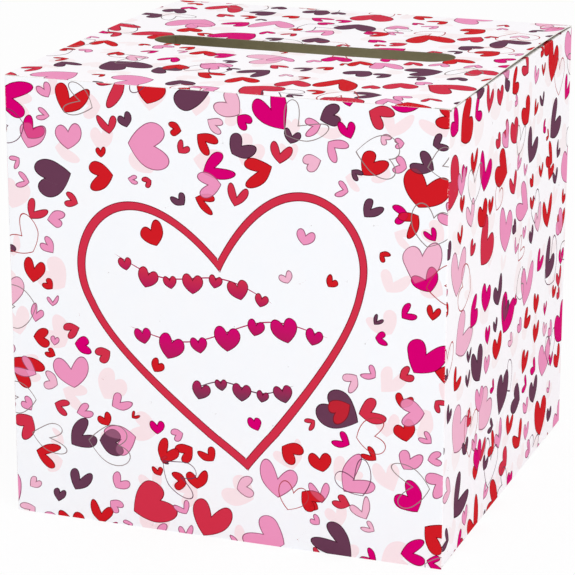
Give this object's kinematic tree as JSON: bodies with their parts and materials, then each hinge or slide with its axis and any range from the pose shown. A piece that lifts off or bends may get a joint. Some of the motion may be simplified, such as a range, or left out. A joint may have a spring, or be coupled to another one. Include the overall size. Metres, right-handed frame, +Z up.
{
  "type": "valentine card box",
  "caption": "Cube carton folded from coated board, with a slotted tuck-in lid over dust flaps, that stands on a table to collect valentine cards.",
  "frame": {"origin": "middle of the box on the surface that it stands on", "axes": "+Z up, the front panel faces -Y, the lid's hinge is at +Y, and +X is on the right seen from the front"},
  "size_m": [0.3048, 0.3048, 0.3048],
  "materials": {
    "coated_board": "satin",
    "seam_adhesive": "satin"
  },
  "bodies": {
    "sleeve": {"front_panel": "coated_board", "right_panel": "coated_board", "back_panel": "coated_board", "left_panel": "coated_board", "glue_flap": "coated_board", "seam_glue": "seam_adhesive"},
    "lid": {"lid_panel": "coated_board"},
    "lid_tuck": {"lid_tuck_flap": "coated_board"},
    "top_left_dust": {"top_left_dust_flap": "coated_board"},
    "top_right_dust": {"top_right_dust_flap": "coated_board"},
    "bottom": {"bottom_panel": "coated_board"},
    "bottom_tuck": {"bottom_tuck_flap": "coated_board"},
    "bottom_left_dust": {"bottom_left_dust_flap": "coated_board"},
    "bottom_right_dust": {"bottom_right_dust_flap": "coated_board"}
  },
  "joints": [
    {"name": "lid_hinge", "type": "hinge", "parent": "sleeve", "child": "lid", "pos_m": [0, 0.15211, 0.30451], "axis": [-1, 0, 0], "range_deg": [0, 165]},
    {"name": "lid_tuck_fold", "type": "hinge", "parent": "lid", "child": "lid_tuck", "pos_m": [0, -0.15115, 0.30446], "axis": [-1, 0, 0], "range_deg": [0, 82.5]},
    {"name": "top_left_dust_fold", "type": "hinge", "parent": "sleeve", "child": "top_left_dust", "pos_m": [-0.15211, 0, 0.30351], "axis": [0, -1, 0], "range_deg": [0, 99]},
    {"name": "top_right_dust_fold", "type": "hinge", "parent": "sleeve", "child": "top_right_dust", "pos_m": [0.15211, 0, 0.30351], "axis": [0, 1, 0], "range_deg": [0, 99]},
    {"name": "bottom_hinge", "type": "hinge", "parent": "sleeve", "child": "bottom", "pos_m": [0, 0.15211, 0.00029], "axis": [1, 0, 0], "range_deg": [0, 165]},
    {"name": "bottom_tuck_fold", "type": "hinge", "parent": "bottom", "child": "bottom_tuck", "pos_m": [0, -0.15115, 0.00034], "axis": [1, 0, 0], "range_deg": [0, 82.5]},
    {"name": "bottom_left_dust_fold", "type": "hinge", "parent": "sleeve", "child": "bottom_left_dust", "pos_m": [-0.15211, 0, 0.00129], "axis": [0, 1, 0], "range_deg": [0, 99]},
    {"name": "bottom_right_dust_fold", "type": "hinge", "parent": "sleeve", "child": "bottom_right_dust", "pos_m": [0.15211, 0, 0.00129], "axis": [0, -1, 0], "range_deg": [0, 99]}
  ],
  "couplings": [
    {"joint": "lid_tuck_fold", "follows": "lid_hinge", "ratio": 0.5},
    {"joint": "top_left_dust_fold", "follows": "lid_hinge", "ratio": 0.6},
    {"joint": "top_right_dust_fold", "follows": "lid_hinge", "ratio": 0.6},
    {"joint": "bottom_tuck_fold", "follows": "bottom_hinge", "ratio": 0.5},
    {"joint": "bottom_left_dust_fold", "follows": "bottom_hinge", "ratio": 0.6},
    {"joint": "bottom_right_dust_fold", "follows": "bottom_hinge", "ratio": 0.6}
  ]
}
